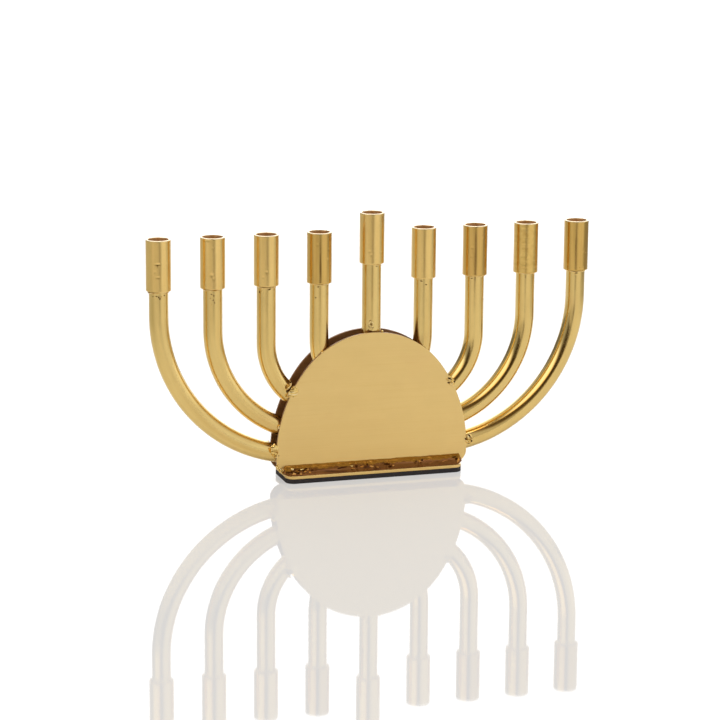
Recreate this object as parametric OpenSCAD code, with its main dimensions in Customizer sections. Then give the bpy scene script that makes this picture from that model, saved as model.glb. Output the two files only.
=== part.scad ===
// Nine-branch brass menorah: bent round arms clamped between two arch-shaped plates.
// The origin is on the table, under the centre of the foot. +X is to the right, +Z is up.

/* [Candle cups] */
// Distance from one cup to the next, centre to centre
cup_pitch = 28.5; // [26:0.5:32]
// Outside diameter of a candle cup
cup_d = 13; // [12.6:0.1:14]
// Height of a candle cup
cup_h = 26.5; // [24:0.5:30]
// Diameter of the hole that holds the candle
candle_bore_d = 10.8; // [10.8:0.1:11.2]
// Depth of the hole that holds the candle
candle_depth = 20; // [14:0.5:21]
// Height of the eight side rims above the table
side_rim_z = 131; // [128:0.5:136]
// Height of the raised centre rim above the table
shamash_rim_z = 140; // [137:0.5:150]

/* [Arms] */
// Diameter of the round bar that every arm is bent from
arm_d = 10; // [9:0.1:10]
// Distance of the arms in front of the foot's centre line
arm_forward = 2.5; // [0:0.25:2.5]
// Bend radius of the innermost arms, which bend only a little
inner_bend_r = 50; // [40:1:80]
// Angle that the innermost arms are bent through
inner_bend_angle = 32; // [20:1:34]
// Bend radius of the second arms, which turn through a right angle
second_bend_r = 36.7; // [34:0.1:40]
// How much larger each further arm's bend radius is
bend_r_step = 20.5; // [19:0.1:22]
// Height of the outermost arms' buried ends
outer_end_z = 13.2; // [12:0.1:15]
// How much higher each arm's buried end is than the one outside it
end_z_step = 11.8; // [11:0.1:12.5]

/* [Arch plates] */
// Thickness of the sheet in both arch plates and in the foot
sheet_t = 1.6; // [1:0.1:2.5]
// Height of the plates' crown above the table
plate_top_z = 77.5; // [74:0.1:82]
// Radius of the arc over the crown
crown_r = 46.6; // [42:0.1:48]
// Half of the plates' width where they are widest
plate_half_w = 52.4; // [51:0.1:56]
// Height above the table where the plates are widest
widest_z = 13.5; // [13:0.1:20]
// Radius that the plates' bottom corners are rounded to
plate_corner_r = 7; // [5:0.5:8]
// Distance of the plates to the left of the centre cup, as they were soldered
plate_left = 0.8; // [0:0.1:2]

/* [Foot] */
// Width of the foot
foot_w = 96.8; // [92:0.2:100]
// Depth of the foot
foot_depth = 27; // [27:0.5:36]
// Radius of the foot's corners
foot_corner_r = 4.5; // [1:0.5:5]
// Thickness of the soft pad under the foot
pad_t = 2.4; // [1:0.1:3]

/* [Solder] */
// Height of the long fillets where the plates meet the foot
foot_fillet_h = 5.4; // [2:0.1:6]
// Width of the long fillets where the plates meet the foot
foot_fillet_w = 4; // [2:0.1:4.2]
// Size of the ring fillet under each cup
ring_fillet = 1.1; // [0.5:0.1:1.3]
// Radius of the solder drops where the arms leave the plates
drop_r = 2.4; // [1.5:0.1:3]

/* [Hidden] */
$fn = 96;

INNER = 1;
SECOND = 2;
THIRD = 3;
OUTER = 4;
RANKS = [INNER, SECOND, THIRD, OUTER];
FRONT = -1;
REAR = 1;
brass = [0.83, 0.69, 0.40];
brushed_brass = [0.85, 0.72, 0.44];
solder_brown = [0.55, 0.36, 0.12];
pad_black = [0.10, 0.09, 0.09];

// Length that a cutting cylinder runs past the face it opens
past = 1;
// How full the foot's fillets are: 0.5 is flat, and more is rounded outwards
foot_fillet_bulge = 0.6;
// How far the foot's fillets stop short of its ends
foot_fillet_gap = 0.6 * foot_corner_r;
foot_top_z = pad_t + sheet_t;
// The arms fill the gap between the plates, and set how far apart they stand
arm_y = -arm_forward;
plate_mid = (arm_d + sheet_t) / 2;
plate_face = arm_d / 2 + sheet_t;
// The crown's arc runs smoothly into two flatter arcs down the sides
crown_z = plate_top_z - crown_r;
crown_rise = crown_z - widest_z;
side_r = (pow(plate_half_w, 2) + pow(crown_rise, 2) - pow(crown_r, 2))
    / (2 * (plate_half_w - crown_r));
side_x = side_r - plate_half_w;
join_angle = atan2(crown_rise, side_x);
join_z = crown_z + crown_r * sin(join_angle);

// Bend radius, bend angle and buried end's height of one arm, by its rank from the centre
function bend_r(rank) = rank == INNER ? inner_bend_r : second_bend_r + bend_r_step * (rank - SECOND);
function bend_angle(rank) = rank == INNER ? inner_bend_angle : 90;
function end_z(rank) = outer_end_z + end_z_step * (OUTER - rank);
// Where the arm's straight part ends and its bend starts
function bend_top_z(rank) = end_z(rank) + bend_r(rank) * sin(bend_angle(rank));
function bend_centre(rank) = [rank * cup_pitch - bend_r(rank), bend_top_z(rank)];
// The upper right point where two circles cross
function crossing(c1, r1, c2, r2) =
    let (
        gap = norm(c2 - c1),
        along = (c2 - c1) / gap,
        reach = (pow(gap, 2) + pow(r1, 2) - pow(r2, 2)) / (2 * gap),
        half = sqrt(pow(r1, 2) - pow(reach, 2))
    )
    c1 + reach * along + half * [along[1], -along[0]];
// Where the centre line of a left-hand (-1) or right-hand (1) arm leaves the plates' outline
function exit_point(rank, hand) =
    let (
        x = -hand * plate_left,
        point = rank == INNER
            ? crossing([x, crown_z], crown_r, bend_centre(rank), bend_r(rank))
            : crossing([x - side_x, widest_z], side_r, bend_centre(rank), bend_r(rank))
    )
    [hand * point[0], point[1]];

// The circle whose left stretch is the arch's left side
module side_circle() {
    translate([side_x, widest_z])
        circle(r = side_r, $fn = 360);
}

// The strip up to where the crown's arc starts, with its two bottom corners rounded
module rounded_strip() {
    corner_x = plate_half_w - plate_corner_r;
    corner_z = foot_top_z + plate_corner_r;
    translate([-corner_x, foot_top_z])
        square([2 * corner_x, plate_corner_r]);
    translate([-plate_half_w - past, corner_z])
        square([2 * (plate_half_w + past), join_z - corner_z]);
    for (side = [-1, 1])
        translate([side * corner_x, corner_z])
            circle(r = plate_corner_r);
}

// The arch outline, drawn with its height along Y
module arch_outline() {
    intersection() {
        side_circle();
        mirror([1, 0])
            side_circle();
        rounded_strip();
    }
    intersection() {
        translate([0, crown_z])
            circle(r = crown_r, $fn = 360);
        translate([-plate_half_w, join_z])
            square([2 * plate_half_w, crown_r]);
    }
}

module arch_plate(side) {
    color(brushed_brass)
        translate([-plate_left, arm_y + side * plate_mid + sheet_t / 2, 0])
            rotate([90, 0, 0])
                linear_extrude(height = sheet_t)
                    arch_outline();
}

module foot_slab(thickness) {
    linear_extrude(height = thickness) {
        square([foot_w - 2 * foot_corner_r, foot_depth], center = true);
        square([foot_w, foot_depth - 2 * foot_corner_r], center = true);
        for (x = [-1, 1], y = [-1, 1])
            translate([x * (foot_w / 2 - foot_corner_r), y * (foot_depth / 2 - foot_corner_r)])
                circle(r = foot_corner_r);
    }
}

// A right-hand arm: straight down from its cup, then bent in towards the plates
module arm(rank) {
    color(brass)
        translate([rank * cup_pitch, arm_y, bend_top_z(rank)]) {
            cylinder(d = arm_d, h = side_rim_z - candle_depth - bend_top_z(rank));
            translate([-bend_r(rank), 0, 0])
                rotate([-90, 0, 0])
                    rotate_extrude(angle = bend_angle(rank), $fn = 360)
                        translate([bend_r(rank), 0])
                            circle(d = arm_d);
        }
}

// A candle cup: the arm's end fills the lower hole and is the floor of the candle hole
module cup(x, rim_z) {
    color(brass)
        translate([x, arm_y, rim_z - cup_h])
            difference() {
                cylinder(d = cup_d, h = cup_h);
                translate([0, 0, -past])
                    cylinder(d = arm_d, h = cup_h);
                translate([0, 0, cup_h - candle_depth])
                    cylinder(d = candle_bore_d, h = candle_depth + past);
            }
}

module side_cup(rank) {
    cup(rank * cup_pitch, side_rim_z);
}

// The ring of solder in the corner between an arm and the underside of its cup
module ring_of_solder(x, rim_z) {
    translate([x, arm_y, rim_z - cup_h])
        rotate_extrude()
            polygon([[arm_d / 2, 0], [arm_d / 2 + ring_fillet, 0], [arm_d / 2, -ring_fillet]]);
}

// The long fillet between a plate's outer face and the foot
module foot_solder(side) {
    color(solder_brown)
        translate([-foot_w / 2 + foot_fillet_gap, arm_y + side * plate_face, foot_top_z])
            rotate([90, 0, 90])
                linear_extrude(height = foot_w - 2 * foot_fillet_gap)
                    polygon([
                        [0, 0],
                        [side * foot_fillet_w, 0],
                        [side * foot_fillet_w * foot_fillet_bulge, foot_fillet_h * foot_fillet_bulge],
                        [0, foot_fillet_h]
                    ]);
}

// A drop of solder on the edge of one plate, flush with the arm that leaves it at a point
module drop_of_solder(point, side) {
    difference() {
        // The poles point forwards and back, away from the edge that cuts the sphere
        translate([point[0], arm_y + side * plate_mid, point[1]])
            rotate([90, 0, 0])
                sphere(r = drop_r);
        arch_plate(side);
        translate([point[0], arm_y, point[1]])
            cube([4 * drop_r, arm_d, 4 * drop_r], center = true);
    }
}

module arm_solder(side) {
    color(solder_brown) {
        drop_of_solder([0, plate_top_z], side);
        for (rank = RANKS, hand = [-1, 1])
            drop_of_solder(exit_point(rank, hand), side);
    }
}

module foot_pad() {
    color(pad_black)
        foot_slab(pad_t);
}

module foot_plate() {
    color(brushed_brass)
        translate([0, 0, pad_t])
            foot_slab(sheet_t);
}

module front_plate() {
    arch_plate(FRONT);
}

module rear_plate() {
    arch_plate(REAR);
}

module shamash_stem() {
    color(brass)
        translate([0, arm_y, foot_top_z])
            cylinder(d = arm_d, h = shamash_rim_z - candle_depth - foot_top_z);
}

module left_arm_inner() { mirror([1, 0, 0]) arm(INNER); }
module left_arm_second() { mirror([1, 0, 0]) arm(SECOND); }
module left_arm_third() { mirror([1, 0, 0]) arm(THIRD); }
module left_arm_outer() { mirror([1, 0, 0]) arm(OUTER); }
module right_arm_inner() { arm(INNER); }
module right_arm_second() { arm(SECOND); }
module right_arm_third() { arm(THIRD); }
module right_arm_outer() { arm(OUTER); }

module shamash_cup() { cup(0, shamash_rim_z); }
module left_cup_inner() { side_cup(-INNER); }
module left_cup_second() { side_cup(-SECOND); }
module left_cup_third() { side_cup(-THIRD); }
module left_cup_outer() { side_cup(-OUTER); }
module right_cup_inner() { side_cup(INNER); }
module right_cup_second() { side_cup(SECOND); }
module right_cup_third() { side_cup(THIRD); }
module right_cup_outer() { side_cup(OUTER); }

module cup_solder() {
    color(brass) {
        ring_of_solder(0, shamash_rim_z);
        for (side = [-1, 1], rank = RANKS)
            ring_of_solder(side * rank * cup_pitch, side_rim_z);
    }
}

module front_foot_solder() { foot_solder(FRONT); }
module rear_foot_solder() { foot_solder(REAR); }
module front_arm_solder() { arm_solder(FRONT); }
module rear_arm_solder() { arm_solder(REAR); }

foot_pad();
foot_plate();
front_plate();
rear_plate();
shamash_stem();
left_arm_inner();
left_arm_second();
left_arm_third();
left_arm_outer();
right_arm_inner();
right_arm_second();
right_arm_third();
right_arm_outer();
shamash_cup();
left_cup_inner();
left_cup_second();
left_cup_third();
left_cup_outer();
right_cup_inner();
right_cup_second();
right_cup_third();
right_cup_outer();
cup_solder();
front_foot_solder();
rear_foot_solder();
front_arm_solder();
rear_arm_solder();
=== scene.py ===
"""Looks of the nine-branch brass menorah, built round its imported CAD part. All lengths are in metres."""
from math import asin, atan2, copysign, cos, exp, pi, radians, sin, sqrt

import bpy
import numpy as np
from mathutils import Matrix, Vector, noise


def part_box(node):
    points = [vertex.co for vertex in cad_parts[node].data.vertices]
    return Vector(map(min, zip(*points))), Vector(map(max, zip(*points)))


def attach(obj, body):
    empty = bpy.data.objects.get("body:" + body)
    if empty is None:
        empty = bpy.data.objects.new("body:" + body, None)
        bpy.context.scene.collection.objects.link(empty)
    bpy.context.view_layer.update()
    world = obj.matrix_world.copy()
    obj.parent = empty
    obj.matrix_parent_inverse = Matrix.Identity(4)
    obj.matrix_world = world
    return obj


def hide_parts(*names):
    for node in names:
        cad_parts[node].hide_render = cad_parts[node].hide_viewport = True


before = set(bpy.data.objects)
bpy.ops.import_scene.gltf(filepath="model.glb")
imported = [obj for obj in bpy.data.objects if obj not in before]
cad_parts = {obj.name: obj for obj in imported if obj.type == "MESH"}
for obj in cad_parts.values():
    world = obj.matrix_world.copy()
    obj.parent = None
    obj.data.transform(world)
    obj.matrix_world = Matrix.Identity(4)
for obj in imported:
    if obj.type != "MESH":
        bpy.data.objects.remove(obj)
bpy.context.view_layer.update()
scene = bpy.context.scene
MM = 0.001
SIDES = {"left": -1, "right": 1}
RANKS = ("inner", "second", "third", "outer")


# ---------------- sizes taken from the CAD frame
def box(node):
    low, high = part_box(node)
    return np.array(low), np.array(high)


foot_low, foot_high = box("foot_plate")
plate_low, plate_high = box("front_plate")
rear_high = box("rear_plate")[1]
stem_low, stem_high = box("shamash_stem")
ARM_R = (stem_high[0] - stem_low[0]) / 2
ARM_Y = (stem_high[1] + stem_low[1]) / 2
FOOT_TOP = foot_high[2]
PLATE_X = (plate_high[0] + plate_low[0]) / 2
PLATE_HALF_W = (plate_high[0] - plate_low[0]) / 2
PLATE_TOP = plate_high[2]
# As in the CAD: the arch's arcs and corners, the inner arms' bend, the foot's corners and the candle's hole
CROWN_R = 46.6 * MM
WIDEST_Z = 13.5 * MM
CORNER_R = 7 * MM
INNER_BEND_R = 50 * MM
INNER_BEND_ANGLE = radians(32)
FOOT_CORNER_R = 4.5 * MM
CUP_BORE_R = 5.4 * MM
CANDLE_DEPTH = 20 * MM
CROWN_Z = PLATE_TOP - CROWN_R
CROWN_RISE = CROWN_Z - WIDEST_Z
SIDE_R = (PLATE_HALF_W**2 + CROWN_RISE**2 - CROWN_R**2) / (2 * (PLATE_HALF_W - CROWN_R))
SIDE_X = SIDE_R - PLATE_HALF_W
JOIN_ANGLE = atan2(CROWN_RISE, SIDE_X)


def srgb(*values):
    """Linear colour from 0 to 255 display values."""
    unit = [v / 255 for v in values]
    return tuple(u / 12.92 if u <= 0.04045 else ((u + 0.055) / 1.055) ** 2.4 for u in unit)


# ---------------- materials
def add(tree, kind, inputs=None, **settings):
    """One shader node. A socket given as an input is linked, and anything else is its value."""
    made = tree.nodes.new("ShaderNode" + kind)
    for key, value in settings.items():
        setattr(made, key, value)
    for key, value in (inputs or {}).items():
        if isinstance(value, bpy.types.NodeSocket):
            tree.links.new(value, made.inputs[key])
        else:
            made.inputs[key].default_value = value
    return made


def maths(tree, operation, a, b=0.5, clamp=False):
    return add(tree, "Math", {0: a, 1: b}, operation=operation, use_clamp=clamp).outputs[0]


def times(tree, a, b, clamp=False):
    return maths(tree, "MULTIPLY", a, b, clamp)


def remap(tree, value, low, high, to_low=0.0, to_high=1.0, kind="LINEAR"):
    inputs = {"Value": value, "From Min": low, "From Max": high, "To Min": to_low, "To Max": to_high}
    return add(tree, "MapRange", inputs, interpolation_type=kind).outputs["Result"]


def ease(tree, value, low, high, to_low=0.0, to_high=1.0):
    return remap(tree, value, low, high, to_low, to_high, "SMOOTHSTEP")


def mix(tree, factor, a, b):
    a = a if isinstance(a, bpy.types.NodeSocket) else (*a, 1.0)
    b = b if isinstance(b, bpy.types.NodeSocket) else (*b, 1.0)
    return add(tree, "Mix", {0: factor, 6: a, 7: b}, data_type="RGBA").outputs[2]


def grain(tree, vector, scale, detail=3.0, roughness=0.55, distortion=0.0):
    """Noise with its own frequency, per metre, along each axis of the vector."""
    scaled = add(tree, "VectorMath", {0: vector, 1: scale}, operation="MULTIPLY").outputs[0]
    inputs = {"Scale": 1.0, "Detail": detail, "Roughness": roughness, "Distortion": distortion}
    return add(tree, "TexNoise", {"Vector": scaled, **inputs}).outputs["Fac"]


def start_material(name):
    made = bpy.data.materials.new(name)
    made.use_nodes = True
    tree = made.node_tree
    tree.nodes.clear()
    output = add(tree, "OutputMaterial")
    shader = add(tree, "BsdfPrincipled")
    tree.links.new(shader.outputs[0], output.inputs["Surface"])
    return made, tree, shader


def plug_in(tree, shader, base, rough, normal):
    for name, value in (("Base Color", base), ("Roughness", rough), ("Normal", normal)):
        tree.links.new(value, shader.inputs[name])


def bumped(tree, strength, distance, height, normal=None):
    """The normal of a bump map, laid over another bump map's normal if there is one."""
    inputs = {"Strength": strength, "Distance": distance, "Height": height}
    if normal is not None:
        inputs["Normal"] = normal
    return add(tree, "Bump", inputs).outputs[0]


def attribute(tree, name, output):
    return add(tree, "Attribute", attribute_name=name).outputs[output]


BLUSH, PIT = srgb(214, 150, 110), srgb(74, 42, 12)  # on brass
SPECK, HOLE = srgb(250, 212, 150), srgb(38, 18, 6)  # on solder


def brushed_brass(
    name, colour, deep, stain, roughness, stroke=(35, 2600), bump=0.25, wave=0.25, uneven=1.0, metallic=1.0
):
    """Brushed brass: strokes run along the first axis of "flow", and "heat" marks soldered places."""
    made, tree, shader = start_material(name)
    flow = attribute(tree, "flow", "Vector")
    heat = attribute(tree, "heat", "Fac")
    fine = grain(tree, flow, (stroke[0], stroke[1], stroke[1]), 4)
    broad = grain(tree, flow, (stroke[0] / 3, stroke[1] / 7, stroke[1] / 7), 3)
    patches = grain(tree, flow, (70, 110, 110), 3)
    blush = grain(tree, flow, (45, 60, 60), 2, distortion=0.6)
    base = mix(tree, remap(tree, patches, 0.3, 0.7), colour, [c * (1 - 0.07 * uneven) for c in colour])
    base = mix(tree, remap(tree, broad, 0.35, 0.75, 0, 0.45 * uneven), base, deep)
    base = mix(tree, remap(tree, fine, 0.5, 0.8, 0, 0.35), base, deep)
    base = mix(tree, remap(tree, blush, 0.58, 0.75, 0, 0.12 * uneven), base, BLUSH)
    spots = grain(tree, flow, (420, 420, 420), 4, 0.65)
    heated = times(tree, heat, remap(tree, spots, 0.4, 0.62), clamp=True)
    base = mix(tree, heated, base, stain)
    pits = remap(tree, grain(tree, flow, (800, 1000, 1000), 2), 0.66, 0.72)
    pits = times(tree, pits, times(tree, heat, 1.4, clamp=True))
    base = mix(tree, pits, base, PIT)
    rough = remap(tree, fine, 0.25, 0.75, roughness - 0.05, roughness + 0.05)
    rough = maths(tree, "ADD", rough, remap(tree, patches, 0.3, 0.7, -0.03 * uneven, 0.03 * uneven))
    rough = maths(tree, "SUBTRACT", rough, times(tree, heated, 0.1), clamp=True)
    normal = bumped(tree, bump, 0.02 * MM, fine)
    normal = bumped(tree, wave, 0.12 * MM, broad, normal)
    normal = bumped(tree, 0.7, 0.25 * MM, maths(tree, "SUBTRACT", heated, pits), normal)
    shader.inputs["Metallic"].default_value = metallic
    plug_in(tree, shader, base, rough, normal)
    return made


def cast_solder(name, dark, mid, light, roughness, stretch=(330, 700, 700), pits=0.3, metallic=1.0):
    """Hard solder that has run and set: glossy and streaked, with pits and specks where "heat" is high."""
    made, tree, shader = start_material(name)
    flow = attribute(tree, "flow", "Vector")
    mottle = grain(tree, flow, stretch, 4, 0.55, 0.6)
    streak = grain(tree, flow, (stretch[0] * 0.35, stretch[1] * 1.6, stretch[2] * 1.6), 2, 0.5, 0.3)
    cluster = attribute(tree, "heat", "Fac")
    specks = grain(tree, flow, (800, 1000, 1000), 3, 0.6)
    base = mix(tree, ease(tree, mottle, 0.3, 0.52), dark, mid)
    base = mix(tree, ease(tree, streak, 0.52, 0.68, 0, 0.85), base, light)
    bright = times(tree, cluster, remap(tree, specks, 0.58, 0.66))
    base = mix(tree, bright, base, SPECK)
    holes = times(tree, cluster, remap(tree, specks, 0.42, 0.34))
    base = mix(tree, holes, base, HOLE)
    rough = remap(tree, mottle, 0.3, 0.7, roughness + 0.1, roughness - 0.06)
    relief = maths(tree, "SUBTRACT", bright, times(tree, holes, 1.6))
    normal = bumped(tree, 0.8, pits * MM, relief, bumped(tree, 0.5, 0.3 * MM, mottle))
    shader.inputs["Metallic"].default_value = metallic
    plug_in(tree, shader, base, rough, normal)
    return made


def soft_rubber(name):
    """Black rubber with dust and fibres."""
    made, tree, shader = start_material(name)
    where = add(tree, "TexCoord").outputs["Object"]
    dust = grain(tree, where, (500, 500, 900), 4)
    fibres = grain(tree, where, (2500, 2500, 2500), 2)
    base = mix(tree, remap(tree, dust, 0.45, 0.8), srgb(30, 26, 30), srgb(58, 50, 50))
    rough = remap(tree, dust, 0.3, 0.7, 0.62, 0.85)
    plug_in(tree, shader, base, rough, bumped(tree, 0.5, 0.1 * MM, fibres))
    return made


STAIN = srgb(190, 140, 84)
sheet_brass = brushed_brass(
    "sheet_brass", srgb(240, 207, 137), srgb(230, 194, 121), STAIN, 0.36, (22, 2400), 0.30, 0.05, 0.35
)
# A finish's name, roughness and depth of stroke
FINISHES = (("satin", 0.22, 0.2), ("polished", 0.13, 0.13), ("turned", 0.2, 0.6))
BAR_TONES = (srgb(238, 208, 135), srgb(218, 178, 98))
bar_brass = {
    finish: brushed_brass(f"bar_brass_{finish}", *BAR_TONES, STAIN, roughness, bump=0.16, wave=0.28)
    for finish, roughness, _ in FINISHES[:2]
}
CUP_TONES = {
    "satin": (srgb(246, 212, 136), srgb(226, 184, 102)),
    "polished": (srgb(228, 190, 110), srgb(194, 150, 74)),
    "turned": (srgb(238, 202, 120), srgb(202, 158, 80)),
}
cup_brass = {
    finish: brushed_brass(f"cup_brass_{finish}", *CUP_TONES[finish], STAIN, roughness, bump=bump, wave=0.15)
    for finish, roughness, bump in FINISHES
}
# Painted highlight: a paler brass for the cups' rounded top edges, where they catch the light
rim_highlight_brass = brushed_brass(
    "rim_highlight_brass", srgb(255, 238, 200), srgb(246, 220, 168), STAIN, 0.3, bump=0.05, wave=0.02
)
bore_brass = brushed_brass("bore_brass", srgb(246, 208, 156), srgb(224, 176, 120), STAIN, 0.42)
# Painted shade: a dark brass for the plates' edges and inner sides, standing for the shade between the two
# plates
gap_shade_brass = brushed_brass(
    "gap_shade_brass", srgb(160, 116, 72), srgb(112, 76, 42), srgb(66, 42, 22), 0.5, metallic=0.25
)
BROWN, GOLD, DARK, AMBER, HIGHLIGHT, COPPER = range(6)
# Each solder's name, its dark, middle and light colours, and how it differs in gloss and grain
SOLDERS = (
    ("brown_solder", (70, 34, 3), (120, 72, 14), (150, 98, 54), (0.22, (70, 520, 520), 0.35, 0.65)),
    ("gold_solder", (150, 106, 46), (238, 204, 124), (255, 236, 190), (0.18,)),
    # Dark flux on pits and marks, also used as painted shade in hollows by the lumps, in the stem's curl and
    # under the cups
    ("dark_flux_and_shade", (52, 24, 4), (74, 38, 8), (110, 64, 20), (0.35, (330, 700, 700), 0.3, 0.95)),
    ("amber_solder", (112, 69, 4), (151, 102, 17), (160, 114, 35), (0.28, (50, 420, 420), 0.1, 0.65)),
    # A pale solder painted as highlights on the arms' lumps and runs, the stem's curl and the beads under
    # the cups
    ("highlight_solder", (206, 160, 84), (248, 222, 154), (253, 238, 184), (0.3,)),
    ("copper_solder", (118, 68, 18), (206, 146, 68), (240, 192, 122), (0.38,)),
)
solders = [
    cast_solder(name, srgb(*dark), srgb(*middle), srgb(*light), *grain_values)
    for name, dark, middle, light, grain_values in SOLDERS
]
pad_rubber = soft_rubber("pad_rubber")


# ---------------- mesh helpers
def whole_turn(count):
    """Evenly spaced angles all round."""
    return np.linspace(0, 2 * pi, count, endpoint=False)


def wrapped_rows(first, second, count):
    """Quads between two rows of vertices that each close on themselves."""
    return [
        (first + i, first + (i + 1) % count, second + (i + 1) % count, second + i) for i in range(count)
    ]


def rows_to_mesh(rows, capped=True, looped=False):
    """One skin over rows of points that each close on themselves; a capped end gets a centre point."""
    count = len(rows[0])
    points = np.concatenate(rows)
    faces = []
    for r in range(len(rows) - 1):
        faces += wrapped_rows(r * count, (r + 1) * count, count)
    if looped:
        faces += wrapped_rows((len(rows) - 1) * count, 0, count)
    if capped:
        start, end = len(points), len(points) + 1
        last = (len(rows) - 1) * count
        points = np.concatenate([points, [rows[0].mean(0)], [rows[-1].mean(0)]])
        faces += [(start, (i + 1) % count, i) for i in range(count)]
        faces += [(end, last + i, last + (i + 1) % count) for i in range(count)]
    return points, faces


def bumps(points, frequency, seed, octaves=2):
    """Smooth noise from about -1 to 1 at each point; frequency is per metre."""
    shift = Vector((seed * 7.31, seed * 3.77, seed * 5.13))
    return np.array([noise.fractal(Vector(p) * frequency + shift, 0.7, 2.0, octaves) for p in points])


def facing_out(points, faces):
    """The faces of one closed skin, turned over if they look inwards."""
    points = np.asarray(points, float) - np.mean(points, axis=0)
    volume = 0.0
    for sides in {len(face) for face in faces}:
        corners = points[np.array([face for face in faces if len(face) == sides])]
        for k in range(1, sides - 1):
            volume += float(np.sum(corners[:, 0] * np.cross(corners[:, k], corners[:, k + 1])))
    return faces if volume >= 0 else [tuple(face[::-1]) for face in faces]


def piece(name, node, points, faces, flow, heat, materials, face_materials=None):
    """A finished mesh that stands for one CAD node."""
    faces = facing_out(points, faces)
    mesh = bpy.data.meshes.new(name)
    mesh.from_pydata(np.asarray(points, float).tolist(), [], faces)
    mesh.update()
    lines = mesh.attributes.new("flow", "FLOAT_VECTOR", "POINT")
    lines.data.foreach_set("vector", np.asarray(flow, np.float32).ravel())
    warmth = mesh.attributes.new("heat", "FLOAT", "POINT")
    warmth.data.foreach_set("value", np.asarray(heat, np.float32))
    for made in materials:
        mesh.materials.append(made)
    if face_materials is not None:
        mesh.polygons.foreach_set("material_index", np.asarray(face_materials, np.int32))
    mesh.polygons.foreach_set("use_smooth", np.ones(len(faces), bool))
    mesh.set_sharp_from_angle(angle=radians(42))
    made = bpy.data.objects.new(name, mesh)
    scene.collection.objects.link(made)
    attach(made, "root")
    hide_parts(node)
    return made


# ---------------- flat sheet parts
def arc(centre, radius, start, end, step=0.5 * MM):
    count = max(3, int(abs(end - start) * radius / step))
    angles = np.linspace(start, end, count)
    return np.stack([centre[0] + radius * np.cos(angles), centre[1] + radius * np.sin(angles)], 1)


def arch_outline():
    """The arch from the middle of its bottom edge, up its right side and down its left."""
    corner = (PLATE_HALF_W - CORNER_R, FOOT_TOP + CORNER_R)
    bottom = np.stack([np.linspace(0, corner[0], 90, endpoint=False), np.full(90, FOOT_TOP)], 1)
    side_start = asin((corner[1] - WIDEST_Z) / SIDE_R)
    parts = [
        bottom,
        arc(corner, CORNER_R, -pi / 2, side_start)[:-1],
        arc((-SIDE_X, WIDEST_Z), SIDE_R, side_start, JOIN_ANGLE)[:-1],
        arc((0, CROWN_Z), CROWN_R, JOIN_ANGLE, pi / 2),
    ]
    half = np.concatenate(parts)
    return np.concatenate([half, (half * (-1, 1))[-2:0:-1]])


def slab_outline():
    """The foot's rounded rectangle."""
    inner = (foot_high - foot_low)[:2] / 2 - FOOT_CORNER_R
    parts = []
    for quarter, (sx, sy) in enumerate([(1, 1), (-1, 1), (-1, -1), (1, -1)]):
        start = quarter * pi / 2
        centre = (sx * inner[0], sy * inner[1])
        parts.append(arc(centre, FOOT_CORNER_R, start, start + pi / 2, 0.25 * MM))
    corners = np.concatenate(parts)
    dense = []
    for a, b in zip(corners, np.roll(corners, -1, 0)):
        count = max(1, int(np.linalg.norm(b - a) / (0.6 * MM)))
        dense += [a + (b - a) * k / count for k in range(count)]
    return np.array(dense)


def inset(outline, distance):
    """An outline moved inwards."""
    ahead = np.roll(outline, -1, 0) - np.roll(outline, 1, 0)
    ahead /= np.linalg.norm(ahead, axis=1, keepdims=True)
    return outline + distance * np.stack([-ahead[:, 1], ahead[:, 0]], 1)


def slab(outline, centre, thickness, bevel, rings):
    """A plate with rounded edges over an outline, with rings on both sides: (u, v, depth) and faces."""
    rows = []
    turn = np.linspace(0, pi / 2, 5)
    rim = inset(outline, bevel)
    for k in range(1, rings):
        rows.append(np.column_stack([centre + (rim - centre) * k / rings, np.zeros(len(rim))]))
    for a in turn:
        edge = inset(outline, bevel * (1 - sin(a)))
        rows.append(np.column_stack([edge, np.full(len(edge), bevel * (1 - cos(a)))]))
    front = len(rows)
    rows += [row * (1, 1, -1) + (0, 0, thickness) for row in reversed(rows[:front])]
    points, faces = rows_to_mesh(rows)
    points[-2:] = [(*centre, 0), (*centre, thickness)]
    return points, faces


def exit_points():
    """Each arm's number from the centre (left is below 0), and the x and z where it leaves the arch."""
    found = []
    for hand, sign in SIDES.items():
        for number, rank in enumerate(RANKS, 1):
            path = arm_path(f"{hand}_arm_{rank}")[0]
            x, z = sign * (path[:, 0] - PLATE_X), path[:, 1]
            crown = np.hypot(x, z - CROWN_Z) < CROWN_R
            side = np.hypot(x + SIDE_X, z - WIDEST_Z) < SIDE_R
            inside = np.where(z > CROWN_Z + CROWN_R * sin(JOIN_ANGLE), crown, side)
            found.append((sign * number, *path[np.argmax(inside)]))
    return found


def arm_path(node):
    """Centre line of a bent arm from its top: points (x, z), tangents, and lengths from the top."""
    low, high = box(node)
    side = 1 if high[0] > -low[0] else -1
    x = side * (max(high[0], -low[0]) - ARM_R)
    inner = node.endswith("inner")
    angle = INNER_BEND_ANGLE if inner else pi / 2
    bend = INNER_BEND_R if inner else abs(x) - min(abs(low[0]), abs(high[0]))
    bend_top = low[2] + (ARM_R + bend) * sin(angle)
    step = 0.7 * MM
    straight = np.linspace(high[2], bend_top, max(3, int((high[2] - bend_top) / step)))[:-1]
    turns = np.linspace(0, angle, int(angle * bend / step))
    points = [(x, z) for z in straight]
    points += [(x - side * bend * (1 - cos(a)), bend_top - bend * sin(a)) for a in turns]
    tangents = [(0, -1)] * len(straight) + [(-side * sin(a), -cos(a)) for a in turns]
    points, tangents = np.array(points), np.array(tangents, float)
    lengths = np.concatenate([[0], np.cumsum(np.linalg.norm(np.diff(points, axis=0), axis=1))])
    return points, tangents, lengths


EXITS = exit_points() + [(0, 0.0, PLATE_TOP)]  # the last is the stem's


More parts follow.
